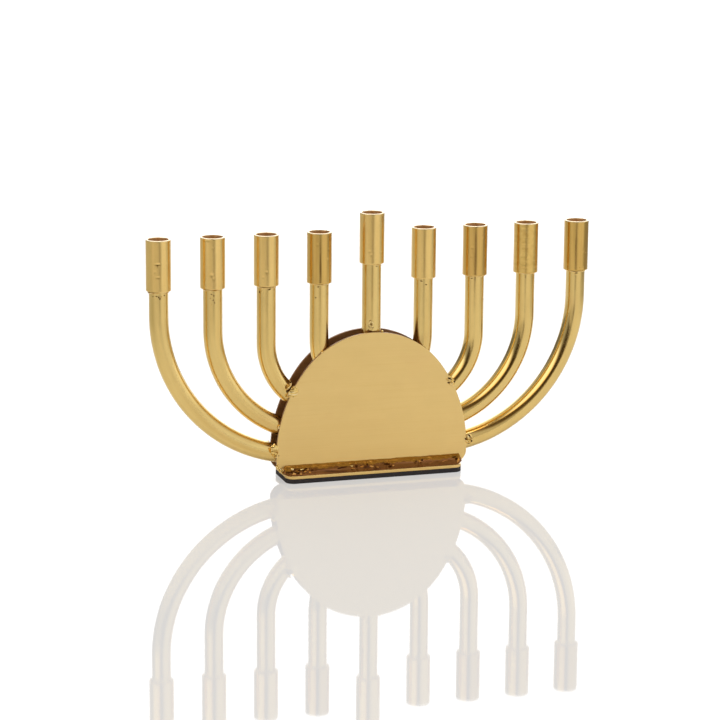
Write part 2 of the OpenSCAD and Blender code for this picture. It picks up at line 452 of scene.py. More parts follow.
def near_exits(x, z, reach):
    """1 where an arm leaves the arch, fading to 0 over a distance."""
    gaps = np.min([np.hypot(x - ex, z - ez) for _, ex, ez in EXITS], axis=0)
    return np.exp(-((gaps / reach) ** 2))


PLATE_EDGE = 0.22 * MM  # radius of its rounded edges
UNEVEN = (0.06 * MM, 28)  # height of a plate's unevenness, and its frequency per metre


def add_arch_plate(name, node, outer_side):
    """A sheet arch, faintly uneven and heat-stained by its solder, with its edge and inner side painted dark
    as the shade that falls between the two plates.
    """
    low, high = box(node)
    outline = arch_outline()
    centre = np.array([0, FOOT_TOP + 0.42 * (PLATE_TOP - FOOT_TOP)])
    flat, faces = slab(outline, centre, high[1] - low[1], PLATE_EDGE, 34)
    points = np.column_stack([flat[:, 0] + PLATE_X, flat[:, 2] + low[1], flat[:, 1]])
    points[:, 1] += UNEVEN[0] * bumps(points * (1, 0, 1), UNEVEN[1], 3 + outer_side, 1)
    points[:, 1] = points[:, 1].clip(low[1], high[1])
    heat = 0.75 * near_exits(points[:, 0], points[:, 2], 3 * MM)
    heat = np.maximum(heat, 0.8 * np.exp(-(((points[:, 2] - FOOT_TOP) / (5.2 * MM)) ** 4)))
    flow = points + (0.3 * outer_side, 0, 0)
    depth = flat[:, 2] / (high[1] - low[1])
    outward = 1 - depth if outer_side < 0 else depth
    # Faces off the outer side, on the edge and the inner side, take the dark brass as painted shade
    shaded_faces = [int(np.mean([outward[i] for i in face]) < 0.93) for face in faces]
    return piece(name, node, points, faces, flow, heat, [sheet_brass, gap_shade_brass], shaded_faces)


BEAD_EDGE, BEAD_FADE = 9 * MM, 3 * MM  # the beads' edge on the foot from its middle, and the stain's width


def add_foot_slab(name, node, material, bevel):
    """A rounded rectangle of sheet, heat-stained along the beads' edges."""
    low, high = box(node)
    flat, faces = slab(slab_outline(), np.zeros(2), high[2] - low[2], bevel, 10)
    points = flat + (0, 0, low[2])
    from_bead = (np.abs(points[:, 1]) - BEAD_EDGE) / BEAD_FADE
    heat = 0.7 * np.exp(-(from_bead**2)) * (points[:, 2] > low[2] + bevel)
    return piece(name, node, points, faces, points, heat, [material])


# ---------------- arms and cups
ROUND = 72  # points round a bar
BAR_EDGE = 0.3 * MM  # how far its ends are eased
BAR_SHIFT, BAR_SIDESTEP = 0.41, 0.07  # how far the strokes of a bar are moved from those of the one before
SCORCHED = (8, 7, 4)  # seeds of the arms with the most heat marks and pits under their cups


def add_bar(name, node, path, seed, finish):
    """A round bar along a centre line, with softened ends, faint hand-bent waves and file marks."""
    points, tangents, lengths = path
    angles = whole_turn(ROUND)
    rows, flows = [], []
    eased = 1 - BAR_EDGE / ARM_R
    stations = [(0, 0.3), (0, 0.75), (0, eased)] + [(i, 1) for i in range(1, len(points) - 1)]
    stations += [(-1, eased), (-1, 0.5)]
    for i, size in stations:
        (x, z), (tx, tz) = points[i], tangents[i]
        across = np.array([-tz, 0, tx])
        radial = np.cos(angles)[:, None] * across + np.sin(angles)[:, None] * np.array([0, 1, 0])
        rows.append(np.array([x, ARM_Y, z]) + ARM_R * size * radial)
        along = np.full(ROUND, lengths[i] + BAR_SHIFT * seed)
        sideways = ARM_R * size * np.cos(angles) + BAR_SIDESTEP * seed
        flows.append(np.column_stack([along, sideways, ARM_R * size * np.sin(angles)]))
    verts, faces = rows_to_mesh(rows)
    flow = np.concatenate(flows + [[flows[0].mean(0)], [flows[-1].mean(0)]])
    axis = np.repeat([(points[i][0], ARM_Y, points[i][1]) for i, _ in stations], ROUND, 0)
    outward = verts[: len(axis)] - axis
    outward /= np.linalg.norm(outward, axis=1, keepdims=True)
    dips = 0.035 * MM * bumps(flow[: len(axis)] * (0.35, 1, 1), 190, seed, 2)
    verts[: len(axis)] += outward * (dips - 0.03 * MM)[:, None]
    heat = near_exits(verts[:, 0], verts[:, 2], 5 * MM) * (verts[:, 1] < ARM_Y + ARM_R)
    below_cup = flow[:, 0] - BAR_SHIFT * seed - (CUP_H - CANDLE_DEPTH)
    scorched = 0.9 if seed in SCORCHED else 0.45
    heat = np.maximum(0.9 * heat, scorched * np.exp(-(((below_cup - 1.5 * MM) / (2.2 * MM)) ** 2)))
    return piece(name, node, verts, faces, flow, heat, [bar_brass[finish]])


cup_low, cup_high = box("shamash_cup")
CUP_R = (cup_high[0] - cup_low[0]) / 2
CUP_H = cup_high[2] - cup_low[2]
TOP_EDGE, INNER_EDGE, BOTTOM_EDGE = 0.34 * MM, 0.16 * MM, 0.12 * MM
# Dents that face forwards: angle round the cup, and in mm height above its lower end, width, height, depth
NICKS = {
    "left_cup_outer": (
        (-1.86, 14.6, 2.4, 0.7, 0.2), (-1.84, 14.0, 0.6, 1.5, 0.1), (-1.84, 7.8, 2.0, 0.5, 0.12),
    ),
    "left_cup_third": (
        (-2.3, 25.3, 3.4, 0.5, 0.16), (-1.9, 7.5, 1.6, 1.4, 0.1), (-1.75, 5.6, 0.8, 1.6, 0.08),
    ),
    "left_cup_second": ((-1.8, 7.6, 1.2, 1.2, 0.09), (-2.1, 5.0, 0.8, 0.8, 0.07)),
    "right_cup_outer": ((-1.6, 2.2, 1.2, 0.9, 0.14), (-1.3, 1.6, 0.9, 0.8, 0.12)),
    "right_cup_third": ((-1.95, 19.0, 3.0, 0.4, 0.08), (-1.7, 16.8, 3.4, 0.3, 0.07)),
    "shamash_cup": ((-1.9, 5.0, 1.0, 1.0, 0.07),),
}
AROUND_CUP = 120  # points round a cup
CUP_SHIFT = np.array([0.23, 0.05, 0])  # how far the strokes of a cup are moved from those of the one before
CHANCE_LOW, CHANCE_HIGH = (-2.6, 4, 0.6, 0.6, 0.03), (0.2, 23, 1.4, 1.2, 0.08)  # limits of a chance dent


def cup_profile():
    """Half section of a cup as (radius, height) from the lower hole's edge, out, up and down the bore."""
    turn = np.linspace(0, pi / 2, 5)
    rows = [(ARM_R, 0), ((ARM_R + CUP_R) / 2, 0)]
    short = [(1 - sin(a), 1 - cos(a)) for a in turn]
    rows += [(CUP_R - BOTTOM_EDGE * a, BOTTOM_EDGE * b) for a, b in short[::2]]
    rows += [(CUP_R, z) for z in np.linspace(BOTTOM_EDGE, CUP_H - TOP_EDGE, 64)[1:-1]]
    rows += [(CUP_R - TOP_EDGE * b, CUP_H - TOP_EDGE * a) for a, b in short]
    rows += [(CUP_BORE_R + INNER_EDGE * a, CUP_H - INNER_EDGE * b) for a, b in short]
    rows += [(CUP_BORE_R, z) for z in np.linspace(CUP_H - INNER_EDGE, CUP_H - CANDLE_DEPTH, 24)[1:]]
    rows += [(ARM_R, CUP_H - CANDLE_DEPTH)]
    return rows


def add_cup(name, node, seed, finish):
    """A tube cup with faint waves and dents, turning marks on a turned one, and scorch at its foot."""
    low, high = box(node)
    axis = (low[:2] + high[:2]) / 2
    angles = whole_turn(AROUND_CUP) + pi / 2
    rows = [
        np.column_stack([r * np.cos(angles), r * np.sin(angles), np.full(AROUND_CUP, z)])
        for r, z in cup_profile()
    ]
    local, faces = rows_to_mesh(rows, capped=False, looped=True)
    turn = np.arctan2(local[:, 1], local[:, 0])
    if finish == "turned":
        flow = np.column_stack([CUP_R * turn, local[:, 2], local[:, 0]]) + CUP_SHIFT * seed
    else:
        flow = local[:, [2, 0, 1]] + CUP_SHIFT * seed
    radius = np.hypot(local[:, 0], local[:, 1])
    outer = radius > CUP_BORE_R + 0.4 * MM
    dips = 0.03 * MM * bumps(local * (1, 1, 0.3), 210, seed + 20, 2) - 0.03 * MM
    random = np.random.default_rng(100 + seed)
    dents = [random.uniform(CHANCE_LOW, CHANCE_HIGH) for _ in range(5)]
    dents += NICKS.get(node, ())
    for spot_turn, spot_z, wide, tall, depth in dents:
        across = CUP_R * (turn - spot_turn) / (wide * MM / 2)
        along = (local[:, 2] - spot_z * MM) / (tall * MM / 2)
        dips -= depth * MM * np.exp(-(across**2) - along**2)
    if finish == "turned":
        dips -= 0.03 * MM * (1 + bumps(local * (0.04, 0.04, 1), 850, seed + 40, 2))
    scale = 1 + np.where(outer, dips, 0) / radius
    local[:, :2] *= scale[:, None]
    points = local + (*axis, low[2])
    heat = 0.9 * np.exp(-((local[:, 2] / (1.6 * MM)) ** 2)) * outer
    middle = np.array([local[list(face)].mean(0) for face in faces])
    within_bore = np.hypot(middle[:, 0], middle[:, 1]) < CUP_BORE_R + 0.1 * MM
    inside = within_bore & (middle[:, 2] < CUP_H - 0.2 * MM)
    # Faces of the rounded top edge take the paler brass as a painted highlight
    rim = middle[:, 2] > CUP_H - 0.9 * TOP_EDGE
    kinds = np.where(inside, 1, np.where(rim, 2, 0))
    materials = [cup_brass[finish], bore_brass, rim_highlight_brass]
    return piece(name, node, points, faces, flow, heat, materials, kinds)


# ---------------- solder
def joined(parts):
    """Several (points, faces) pairs as one mesh."""
    points, faces, start = [], [], 0
    for these, their_faces in parts:
        points.append(these)
        faces += [tuple(start + i for i in face) for face in their_faces]
        start += len(these)
    return np.concatenate(points), faces


def solder_piece(name, node, parts):
    """Solder as one piece; each part is (points, faces, finish, heat at its points)."""
    points, faces = joined([(part[0], facing_out(part[0], part[1])) for part in parts])
    materials = np.concatenate([np.broadcast_to(part[2], len(part[1])) for part in parts])
    heat = np.concatenate([np.broadcast_to(part[3], len(part[0])) for part in parts])
    return piece(name, node, points, faces, points, heat, solders, materials)


BEAD_SWELL = 1.25  # 1 gives a quarter-ellipse section, more a hollower one
BEAD_FILL = 0.94  # a bead's mean size as a share of the CAD's
# Where the front bead is lumpy: middle and half length along x, in mm
ROUGH_PLACES = ((-42, 6), (-11.5, 3), (-2, 4.5), (7, 2), (24, 3), (46, 1.5))
# Ridges along a bead: first and last x in mm, place on the section from top (0) to foot (1), weaving
BEAD_RIDGES = ((26, 45, 0.5, 0.5), (27, 44, 0.72, 0.9), (-33, -19, 0.55, 0.3))
# How far the front bead runs past the foot's left end and the CAD bead's right end
PAST_LEFT, PAST_RIGHT = 1.5 * MM, 3.0 * MM


def bead_ridges(mm, share):
    """Each ridge's height at one x, in mm, and at shares of the way along the section."""
    for first, last, place, wave in BEAD_RIDGES:
        inside = np.clip((mm - first) / 2, 0, 1) * np.clip((last - mm) / 2, 0, 1)
        middle = place + 0.05 * sin(wave * mm) - 0.004 * (mm - first)
        yield inside * 0.32 * MM * np.exp(-(((share - middle) / 0.045) ** 2))


def foot_bead(side, seed):
    """The long bead between a plate's outer face and the foot's top: smooth stretches and lumpy ones."""
    low, high = box("front_foot_solder" if side < 0 else "rear_foot_solder")
    face_y = high[1] if side < 0 else low[1]
    width, height = high[1] - low[1], high[2] - low[2]
    start, end = (foot_low[0] - PAST_LEFT, high[0] + PAST_RIGHT) if side < 0 else (low[0], high[0])
    turn = np.linspace(0, pi / 2, 30)
    rows, rough = [], []
    for x in np.linspace(start, end, 700):
        from_end = min(x - start, end - x) / MM
        lift, spread = (min(1.0, 0.35 + 0.65 * (from_end / reach) ** 0.6) for reach in (1.4, 4.5))
        past_corner = max(0.0, abs(x - PLATE_X) - (PLATE_HALF_W - CORNER_R))
        base = CORNER_R - sqrt(max(0.0, CORNER_R**2 - past_corner**2)) + 0.05 * past_corner
        at = Vector((x * 90, seed, 0))
        tall = height * lift * (BEAD_FILL + 0.06 * noise.fractal(at, 0.7, 2, 3))
        wide = width * spread * (0.93 + 0.05 * noise.fractal(at + Vector((0, 9, 0)), 0.7, 2, 3))
        out = wide * np.sin(turn) ** BEAD_SWELL
        up = tall * np.cos(turn) ** BEAD_SWELL
        mm = x / MM
        share = np.linspace(0, 1, len(turn))
        for ridge in bead_ridges(mm, share):
            out, up = out + 0.6 * ridge, up + 0.8 * ridge
        lumpy = max(exp(-(((mm - c) / w) ** 2)) for c, w in ROUGH_PLACES) if side < 0 else 0.5
        out = np.concatenate([[-0.15 * MM], out, [wide * 0.9, -0.15 * MM]])
        up = np.concatenate([[tall * 0.95], up, [-0.1 * MM, -0.1 * MM]])
        up = np.maximum(up, up + (base - 0.2 * up) * (base > 0.1 * MM) * (1 - up / tall))
        rows.append(np.column_stack([np.full(len(out), x), face_y + side * out, FOOT_TOP + up]))
        rough.append(lumpy * np.concatenate([[0], np.clip((share - 0.2) * 4, 0, 1), [0, 0]]))
    points, faces = rows_to_mesh(rows)
    rough = np.concatenate(rough)
    rough = np.concatenate([rough, np.zeros(len(points) - len(rough))])
    outward = np.array([0, side * 0.6, 0.8])
    ripples = 0.16 * MM * bumps(points * (0.22, 1, 1), 420, seed, 3)
    lumps = rough * 0.4 * MM * bumps(points, 560, seed + 5, 3)
    out, up = side * (points[:, 1] - face_y), points[:, 2] - FOOT_TOP
    free = np.clip(out / (0.5 * MM), 0, 1) * np.clip(up / (0.4 * MM), 0, 1)
    points += np.outer((ripples + lumps - 0.1 * MM) * free, outward)
    level = [np.mean([points[v][2] for v in face]) - FOOT_TOP for face in faces]
    middle = [np.mean([points[v][0] for v in face]) / MM for face in faces]
    border = [height * (0.6 + 0.05 * sin(0.5 * x) + 0.03 * sin(1.7 * x)) for x in middle]
    return points, faces, np.where(np.array(level) > border, AMBER, BROWN), rough


def blob(centre, sizes, lean, seed, finish=GOLD, rough=0.25, heat=0.6, rings=18, around=24):
    """A lumpy drop: a rounded body with three half sizes in mm, leaned in the plane of the plates."""
    rows = []
    for a in np.linspace(0.06, pi - 0.06, rings):
        b = whole_turn(around)
        ring = (np.full(around, cos(a)), sin(a) * np.cos(b), sin(a) * np.sin(b))
        rows.append(np.column_stack(ring))
    ball, faces = rows_to_mesh(rows)
    ball *= (1 + rough * bumps(ball, 1.5, seed, 3))[:, None]
    local = ball * (np.array(sizes) * MM)
    c, s = cos(lean), sin(lean)
    x, y, z = local[:, 0] * c - local[:, 2] * s, local[:, 1], local[:, 0] * s + local[:, 2] * c
    return np.column_stack([x, y, z]) + centre, faces, finish, heat


RING_SIZES = (0.55, 0.7, 0.9, 0.8, 1.0, 0.6, 0.75, 0.6, 0.85)  # one for each of cup_nodes
# Sections of the bead under a cup and of the dark band above it, the band being painted shadow under the
# cup, in mm: out from the arm and up from the cup's lower end
BRIGHT_RING = (
    (-0.3, -0.2), (0.2, -0.22), (0.42, -0.38), (0.5, -0.6), (0.42, -0.85), (0.2, -1.05), (-0.3, -1.15),
)
CUP_SHADOW_BAND = ((-0.3, 0.3), (0.5, 0.3), (0.55, 0.0), (0.3, -0.2), (0.25, -0.4), (-0.3, -0.45))
AROUND_RING = 90  # points round a ring


def small_blob(centre, sizes, lean, seed, finish):
    return blob(centre, sizes, lean, seed, finish, 0.3, rings=10, around=14)


def ring_of_solder(node, seed):
    """The uneven bead round an arm just under its cup, in the pale solder as a painted highlight, with a
    dark band above it as painted shadow under the cup.
    """
    low, high = box(node)
    x = (low[0] + high[0]) / 2
    angles = whole_turn(AROUND_RING)
    size = RING_SIZES[seed]
    wave = size * MM * (0.22 * np.sin(angles * 2 + seed) + 0.1 * np.sin(angles * 5 + 2 * seed))
    parts = []
    # The bead takes the pale solder as a painted highlight, and the band the dark finish as painted shadow
    for section, finish in ((BRIGHT_RING, HIGHLIGHT), (CUP_SHADOW_BAND, DARK)):
        rows = []
        for out, up in section:
            r = ARM_R + (out * size if out > 0 else out) * MM
            drop = (up * size * MM + wave) if up < 0.2 else np.full(AROUND_RING, up * MM)
            ring = (x + r * np.cos(angles), ARM_Y + r * np.sin(angles), low[2] + drop)
            rows.append(np.column_stack(ring))
        points, faces = rows_to_mesh(rows, capped=False, looped=True)
        outward = (points - (x, ARM_Y, 0)) * (1, 1, 0)
        outward /= np.linalg.norm(outward, axis=1, keepdims=True)
        swell = 0.16 * MM * bumps(points, 480, seed, 3) + 0.1 * MM * bumps(points, 1500, seed + 3, 2)
        keep = (points[:, 2] < low[2] - 0.1 * MM).astype(float)
        points += outward * (size * swell * keep)[:, None]
        parts.append((points, faces, finish, 0.5))
    return parts


CAMERA_SIDE = -107  # degrees round an arm from the right to its side nearest the photographer
# On the arm under a cup: degrees round from that side, and in mm drop below the cup, half sizes; finish
ARM_MARKS = {
    "left_cup_outer": (
        (-8, 2.2, 0.5, 0.25, DARK), (4, 2.7, 0.35, 0.4, DARK), (12, 3.5, 0.45, 0.35, DARK),
        (-30, 2.4, 0.3, 0.25, DARK), (40, 1.9, 0.4, 0.3, DARK), (20, 2.5, 0.4, 0.3, GOLD),
    ),
    "left_cup_third": (
        (-5, 2.6, 0.5, 0.2, DARK), (10, 3.4, 0.35, 0.3, DARK), (-12, 4.6, 0.3, 0.3, GOLD),
        (6, 5.6, 0.35, 0.25, DARK), (14, 7.0, 0.3, 0.3, DARK), (-4, 8.2, 0.3, 0.25, GOLD),
    ),
    "left_cup_second": (
        (-24, 2.6, 0.3, 0.8, GOLD), (-40, 3.2, 0.3, 0.6, DARK), (20, 1.6, 0.8, 0.3, DARK),
    ),
    "left_cup_inner": ((-6, 1.6, 0.5, 0.3, DARK), (-20, 7.4, 0.3, 0.4, DARK)),
    "shamash_cup": ((30, 1.2, 0.5, 0.2, DARK),),
    "right_cup_inner": ((-12, 1.5, 0.9, 0.25, DARK), (16, 3.4, 0.4, 0.3, DARK)),
    "right_cup_second": ((-18, 1.4, 0.6, 0.25, DARK),),
    "right_cup_third": ((0, 2.2, 0.3, 0.2, DARK),),
    "right_cup_outer": ((5, 1.4, 0.6, 0.25, DARK), (-4, 2.3, 0.5, 0.3, GOLD)),
}


def arm_marks():
    """Small drops and pits that the soldering left on the arms' fronts below the cups."""
    parts = []
    marks = [(node, *mark) for node, marks in ARM_MARKS.items() for mark in marks]
    for k, (node, degrees, drop, wide, tall, finish) in enumerate(marks):
        low, high = box(node)
        around = radians(degrees + CAMERA_SIDE)
        x = (low[0] + high[0]) / 2 + ARM_R * cos(around)
        centre = np.array([x, ARM_Y + ARM_R * sin(around), low[2] - drop * MM])
        parts.append(small_blob(centre, (wide, 0.22, tall), 0.3 * sin(k), 200 + k, finish))
    return parts


# Runs of solder from a lump's middle, in mm: to the right, up, half length, half width; degrees, finish
# Bright runs are painted highlights; dark runs are pits and painted shade in the hollows beside the lumps
RUNS = {
    -4: (
        (0.0, 0.3, 2.4, 0.5, 30, HIGHLIGHT), (0.2, -1.0, 1.9, 0.4, 34, DARK), (0.9, -1.8, 1.2, 0.5, 60, GOLD),
        (-0.9, -2.6, 1.0, 0.6, 10, GOLD), (1.6, -3.2, 0.4, 0.4, 0, DARK), (0.3, -4.0, 1.6, 0.6, -12, HIGHLIGHT),
    ),
    -2: (
        (-2.5, 3.0, 2.2, 0.6, 49, HIGHLIGHT), (-2.9, 3.3, 1.5, 0.3, 49, GOLD), (-2.4, 1.4, 1.9, 0.45, 52, DARK),
        (-0.5, 1.6, 1.5, 0.6, 60, GOLD), (0.6, 2.6, 0.9, 0.35, 30, DARK), (-0.4, -2.0, 0.5, 0.6, 0, DARK),
        (-3.1, -2.3, 1.2, 0.35, -8, HIGHLIGHT),
    ),
}
# Where each arm leaves a plate, in mm: the lump's half sizes along and across the arm, how far it stands
# proud, and how far its middle lies above the arm's axis and out from the plate's edge
LUMPS = {
    -4: (2.2, 2.8, 0.55, 2.8, 0.4), -3: (0.8, 1.6, -0.4, 0, 0),
    -2: (2.6, 3.2, 0.6, 2.0, 0.0), -1: (0.6, 1.2, -0.4, 0, 0),
    1: (0.6, 1.2, -0.4, 0, 0), 2: (1.7, 2.5, 0.5, 3.6, 0.6),
    3: (0.7, 1.4, -0.4, 0, 0), 4: (2.0, 2.4, 0.5, 2.0, 1.9),
}
LARGE_LUMP = 0.3  # how far proud a lump stands, in mm, to have side lumps and ridges
FAN_Z = 0.55 * CROWN_Z  # height on the plates' middle line that the lumps point away from
# Ridges of a large lump: shares of its half sizes along and across, half length, half width in mm; finish
# Bright ridges are painted highlights; dark ridges sit lower as painted shade in the hollows
RIDGES = (
    (-0.35, 0.55, 1.5, 0.7, HIGHLIGHT), (0.35, -0.1, 0.9, 0.6, GOLD), (-0.55, -0.5, 0.8, 0.6, HIGHLIGHT),
    (0.1, 0.62, 1.2, 0.4, DARK), (0.75, -0.45, 0.5, 0.5, DARK), (-0.95, 0.05, 0.7, 0.35, DARK),
)


def arm_blobs(side, seed):
    """Solder where the arms leave a plate, in the corner of the plate's edge and the arm and over both."""
    face = plate_low[1] if side < 0 else rear_high[1]
    parts = []
    for index, (number, x, z) in enumerate(EXITS):
        if number == 0:
            continue
        lean = atan2(z - FAN_Z, x - PLATE_X)
        along, across, proud, lift, out = LUMPS[number if side < 0 else -number]
        random = np.random.default_rng(seed + index)
        axis_u = np.array([cos(lean), sin(lean)])
        axis_v = np.array([-sin(lean), cos(lean)])
        hand = copysign(1, number)
        middle = np.array([x, z]) + (out * axis_u + lift * hand * axis_v) * MM

        def at(u, v, y):
            x, z = middle + (u * axis_u + v * axis_v) * MM
            return np.array([x, face + side * y * MM, z])

        for k, share in enumerate((0.0, 0.62, -0.62) if proud > LARGE_LUMP else (0.0,)):
            size = 1 if k == 0 else 0.55
            thick = (1.5 + proud) / 2
            u, v = 0.15 * along + random.uniform(-0.3, 0.3), share * across
            sizes = (along * size, thick, across * size)
            parts.append(blob(at(u, v, proud * size - thick), sizes, lean, seed + 3 * index + k))
        if side < 0 and number in RUNS:
            for k, (right, up, long, wide, degrees, finish) in enumerate(RUNS[number]):
                place = np.array([middle[0] + right * MM, face + 1.2 * MM, middle[1] + up * MM])
                sizes = (long, 1.45 if finish == DARK else 1.6, wide)
                parts.append(blob(place, sizes, radians(degrees), seed + 40 + k, finish))
        elif proud > LARGE_LUMP:
            for k, (u, v, long, wide, finish) in enumerate(RIDGES):
                outwards = proud + (0.0 if finish == DARK else 0.2) - 0.6
                place = at(u * along, v * across * hand, outwards)
                sizes = (wide, 0.75, long)
                parts.append(blob(place, sizes, lean + 0.5 * hand, seed + 40 + k, finish, 0.3))
    return parts


# Solder along the crown at the stem's foot, in mm: to the right, half width and half height; finish
CROWN_DROPS = (
    (4.4, 0.7, 0.6, GOLD), (-4.2, 0.9, 0.9, AMBER), (-2.4, 1.8, 0.45, DARK), (1.6, 2.2, 0.35, AMBER),
)
# The curl of solder on the front of the stem, in mm: its middle, its radius and half its thickness
CURL_X, CURL_UP, CURL_R, CURL_HALF = -1.6 * MM, 3.9 * MM, 1.15 * MM, 0.28 * MM
# Dark marks in and round the curl, painted as the shade inside it and beside it, in mm: to the right, up,
# half width and half height
CURL_MARKS = ((-1.9, 5.9, 0.5, 0.35), (-1.5, 3.9, 0.4, 0.8), (-0.7, 2.2, 0.5, 0.3))


def stem_solder(seed):
    """Drops of solder where the stem leaves the front plate, and the curl above them, in the pale solder as
    a painted highlight with painted shade in and round it.
    """
    parts = []
    for shift, wide, tall, finish in CROWN_DROPS:
        centre = np.array([shift * MM, plate_low[1] + 1.3 * MM, PLATE_TOP + 0.05 * MM])
        parts.append(blob(centre, (wide, 0.8, tall), 0.0, seed + 60 + int(shift), finish))
    rows = []
    b = whole_turn(14)
    for a in whole_turn(40):
        r = CURL_R + CURL_HALF * np.cos(b)
        curl_x = r * cos(a) + CURL_X
        on_stem = ARM_Y - np.sqrt(ARM_R**2 - curl_x**2)
        curl_z = PLATE_TOP + CURL_UP + 1.4 * r * sin(a)
        rows.append(np.column_stack([curl_x, on_stem - 0.26 * MM * np.sin(b), curl_z]))
    points, faces = rows_to_mesh(rows, capped=False, looped=True)
    points += 0.08 * MM * bumps(points, 900, 5)[:, None] * np.array([0.3, -1, 0.3])
    parts.append((points, faces, HIGHLIGHT, 0.2))
    for shift, up, wide, tall in CURL_MARKS:
        on_stem = ARM_Y - sqrt(ARM_R**2 - (shift * MM) ** 2)
        centre = np.array([shift * MM, on_stem, PLATE_TOP + up * MM])
        parts.append(small_blob(centre, (wide, 0.2, tall), 0.3, seed + 70, DARK))
    return parts


# On the front bead, in mm: along x, up from the foot's top, half length and half height; finish
BEAD_LUMPS = (
    (-47.4, 2.9, 1.8, 1.5, AMBER), (-47.2, 1.2, 1.7, 1.1, BROWN), (-46.6, 3.9, 0.5, 0.5, DARK),
    (-47.6, 2.0, 0.6, 0.4, DARK), (-45.4, 3.4, 1.0, 0.8, GOLD), (-44.6, 1.2, 1.1, 0.6, GOLD),
    (-42.8, 2.4, 0.9, 0.5, GOLD), (-41.0, 1.0, 0.8, 0.4, GOLD), (-40.2, 3.2, 0.9, 0.35, GOLD),
    (-38.6, 2.0, 0.6, 0.5, GOLD), (-37.0, 2.9, 0.5, 0.6, GOLD), (-36.0, 1.6, 0.6, 0.4, GOLD),
    (-45.8, 2.2, 0.7, 0.4, DARK), (-43.9, 3.3, 0.9, 0.3, DARK), (-42.2, 1.5, 0.9, 0.35, DARK),
    (-41.6, 3.0, 0.7, 0.3, DARK), (-39.4, 2.7, 0.5, 0.5, DARK), (-37.8, 3.4, 0.6, 0.4, DARK),
    (-34.6, 2.6, 0.6, 0.5, DARK), (-18.5, 2.7, 2.8, 0.3, DARK), (-13.0, 3.1, 0.9, 0.35, GOLD),
    (-12.6, 2.0, 1.0, 0.35, GOLD), (-10.4, 2.9, 0.7, 0.9, DARK), (-7.4, 2.5, 0.9, 0.45, GOLD),
    (-4.4, 3.0, 0.7, 0.8, DARK), (-2.0, 2.3, 1.1, 0.4, GOLD), (1.0, 1.8, 0.8, 0.35, GOLD),
    (6.4, 2.8, 1.4, 0.8, DARK), (8.2, 1.6, 0.9, 0.5, DARK), (9.8, 1.9, 0.5, 0.45, GOLD),
    (22.6, 3.0, 0.5, 0.6, DARK), (24.6, 3.0, 0.6, 0.55, GOLD), (26.2, 3.6, 0.6, 0.4, DARK),
    (43.6, 3.7, 1.6, 0.4, DARK), (45.2, 3.0, 0.6, 0.7, DARK), (46.1, 2.2, 0.6, 1.2, GOLD),
)
# Over the front plate's lower left corner: degrees round from the left, and in mm the distance in from the
# edge and the half sizes along, deep and up
CORNER_LUMPS = (
    (18, 0.4, 0.9, 0.9, 1.1), (32, 0.7, 1.3, 1.1, 1.0), (45, 0.3, 1.0, 1.3, 0.9), (54, 1.2, 1.2, 1.0, 0.8),
    (66, 0.4, 1.3, 1.5, 0.8), (80, 0.3, 1.2, 1.7, 0.6),
)


def bead_lumps():
    """Lumps and pits of the front bead, and the lumps that run over its left end and the foot's corner."""
    low, high = box("front_foot_solder")
    parts = []
    for k, (x, up, long, tall, finish) in enumerate(BEAD_LUMPS):
        share = up * MM / (BEAD_FILL * (high[2] - low[2]))
        out = BEAD_FILL * (high[1] - low[1]) * (1 - share ** (2 / BEAD_SWELL)) ** (BEAD_SWELL / 2)
        centre = np.array([x * MM, plate_low[1] - out + 0.1 * MM, FOOT_TOP + (up - 0.1) * MM])
        if finish == GOLD and k % 4:
            finish = COPPER
        parts.append(blob(centre, (long, 0.5, tall), 0.25 * sin(5 * k), 80 + k, finish, 0.36))
    corner_x, corner_z = PLATE_X - PLATE_HALF_W + CORNER_R, FOOT_TOP + CORNER_R
    for k, (degrees, inwards, *half) in enumerate(CORNER_LUMPS):
        r, around = CORNER_R - inwards * MM, radians(degrees)
        x, z = corner_x - r * cos(around), corner_z - r * sin(around)
        centre = np.array([x, plate_low[1] + 0.2 * MM, z])
        parts.append(blob(centre, half, around - 1.2, 130 + k, GOLD, 0.4, 0.9))
    return parts


# ---------------- the menorah
add_foot_slab("foot_pad_rubber", "foot_pad", pad_rubber, 0.15 * MM)
add_foot_slab("foot_plate_sheet", "foot_plate", sheet_brass, 0.25 * MM)
add_arch_plate("front_plate_sheet", "front_plate", -1)
add_arch_plate("rear_plate_sheet", "rear_plate", 1)
stem_z = np.linspace(stem_high[2], stem_low[2], 140)
stem_points = np.column_stack([np.zeros_like(stem_z), stem_z])
stem_path = (stem_points, np.tile([0.0, -1.0], (len(stem_z), 1)), stem_high[2] - stem_z)
add_bar("shamash_stem_bar", "shamash_stem", stem_path, 9, "satin")
add_cup("shamash_cup_tube", "shamash_cup", 9, "satin")
CUP_FINISHES = {"left_cup_inner": "polished", "right_cup_second": "polished"}
CUP_FINISHES |= {"right_cup_third": "turned", "right_cup_outer": "polished"}
POLISHED_ARMS = ("right_arm_second", "right_arm_third", "right_arm_outer")
for hand, sign in SIDES.items():
    for rank_index, rank in enumerate(RANKS):
        seed = rank_index + 1 if sign > 0 else rank_index + 5
        arm, cup = f"{hand}_arm_{rank}", f"{hand}_cup_{rank}"
        add_bar(f"{arm}_bar", arm, arm_path(arm), seed, "polished" if arm in POLISHED_ARMS else "satin")
        add_cup(f"{cup}_tube", cup, seed, CUP_FINISHES.get(cup, "satin"))
cup_nodes = ["shamash_cup"] + [f"{s}_cup_{r}" for s in SIDES for r in RANKS]
rings = [part for i, node in enumerate(cup_nodes) for part in ring_of_solder(node, i)]
solder_piece("cup_solder_rings", "cup_solder", rings + arm_marks())
solder_piece("front_foot_bead", "front_foot_solder", [foot_bead(-1, 2)] + bead_lumps())
solder_piece("rear_foot_bead", "rear_foot_solder", [foot_bead(1, 7)])
solder_piece("front_arm_drops", "front_arm_solder", arm_blobs(-1, 11) + stem_solder(11))
